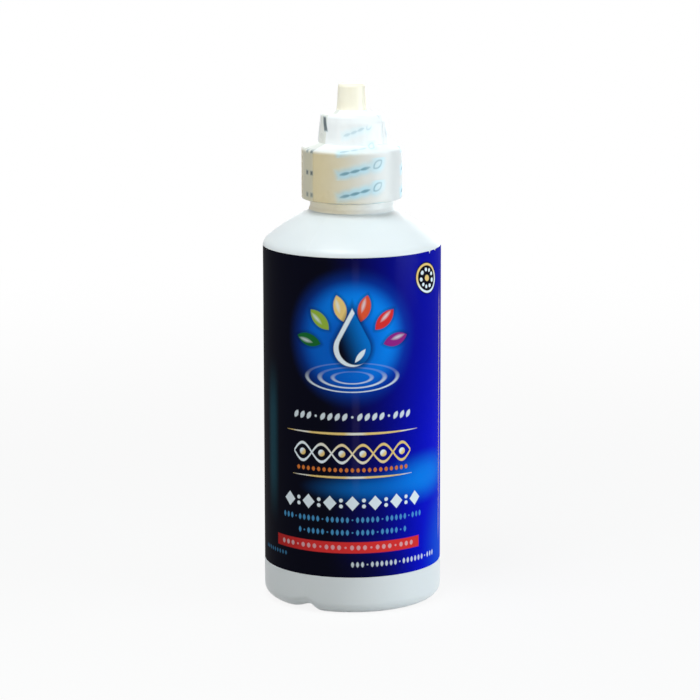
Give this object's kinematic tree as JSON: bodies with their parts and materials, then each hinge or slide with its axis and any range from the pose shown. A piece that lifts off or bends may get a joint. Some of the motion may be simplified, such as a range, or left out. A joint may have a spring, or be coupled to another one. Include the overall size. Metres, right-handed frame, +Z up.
{
  "type": "contact lens solution bottle",
  "caption": "Round white squeeze bottle for contact lens solution, with a dropper nozzle, a stepped screw cap, clear film over the cap and a dark blue wrap label.",
  "frame": {"origin": "centre of the base, on the surface that the bottle stands on", "axes": "+Z up along the bottle's axis, -Y towards the front of the label, +X to the right seen from the front"},
  "size_m": [0.036, 0.036, 0.105],
  "materials": {
    "bottle_plastic": "satin white soft polyethylene",
    "dropper_plastic": "satin natural polyethylene",
    "cap_plastic": "smooth ivory polypropylene",
    "liner_foam": "soft foamed ring",
    "film": "clear shrink film with a pale blue print",
    "label_sheet": "glossy printed film sheet",
    "liquid": "clear liquid"
  },
  "bodies": {
    "bottle_body": {"bottle": "bottle_plastic", "dropper_insert": "dropper_plastic", "seal_band_lower": "film", "label": "label_sheet", "solution": "liquid"},
    "liner_body": {"cap_liner": "liner_foam"},
    "cap_body": {"cap": "cap_plastic", "seal_band_upper": "film"}
  },
  "joints": [
    {"name": "cap_lift", "type": "slide", "parent": "bottle_body", "child": "liner_body", "axis": [0, 0, 1], "range_m": [0, 0.0222]},
    {"name": "cap_turn", "type": "hinge", "parent": "liner_body", "child": "cap_body", "pos_m": [0, 0, 0.0871], "axis": [0, 0, 1], "range_deg": [0, 2520]}
  ],
  "couplings": [
    {"joint": "cap_turn", "follows": "cap_lift", "rad_per_m": 1979}
  ]
}
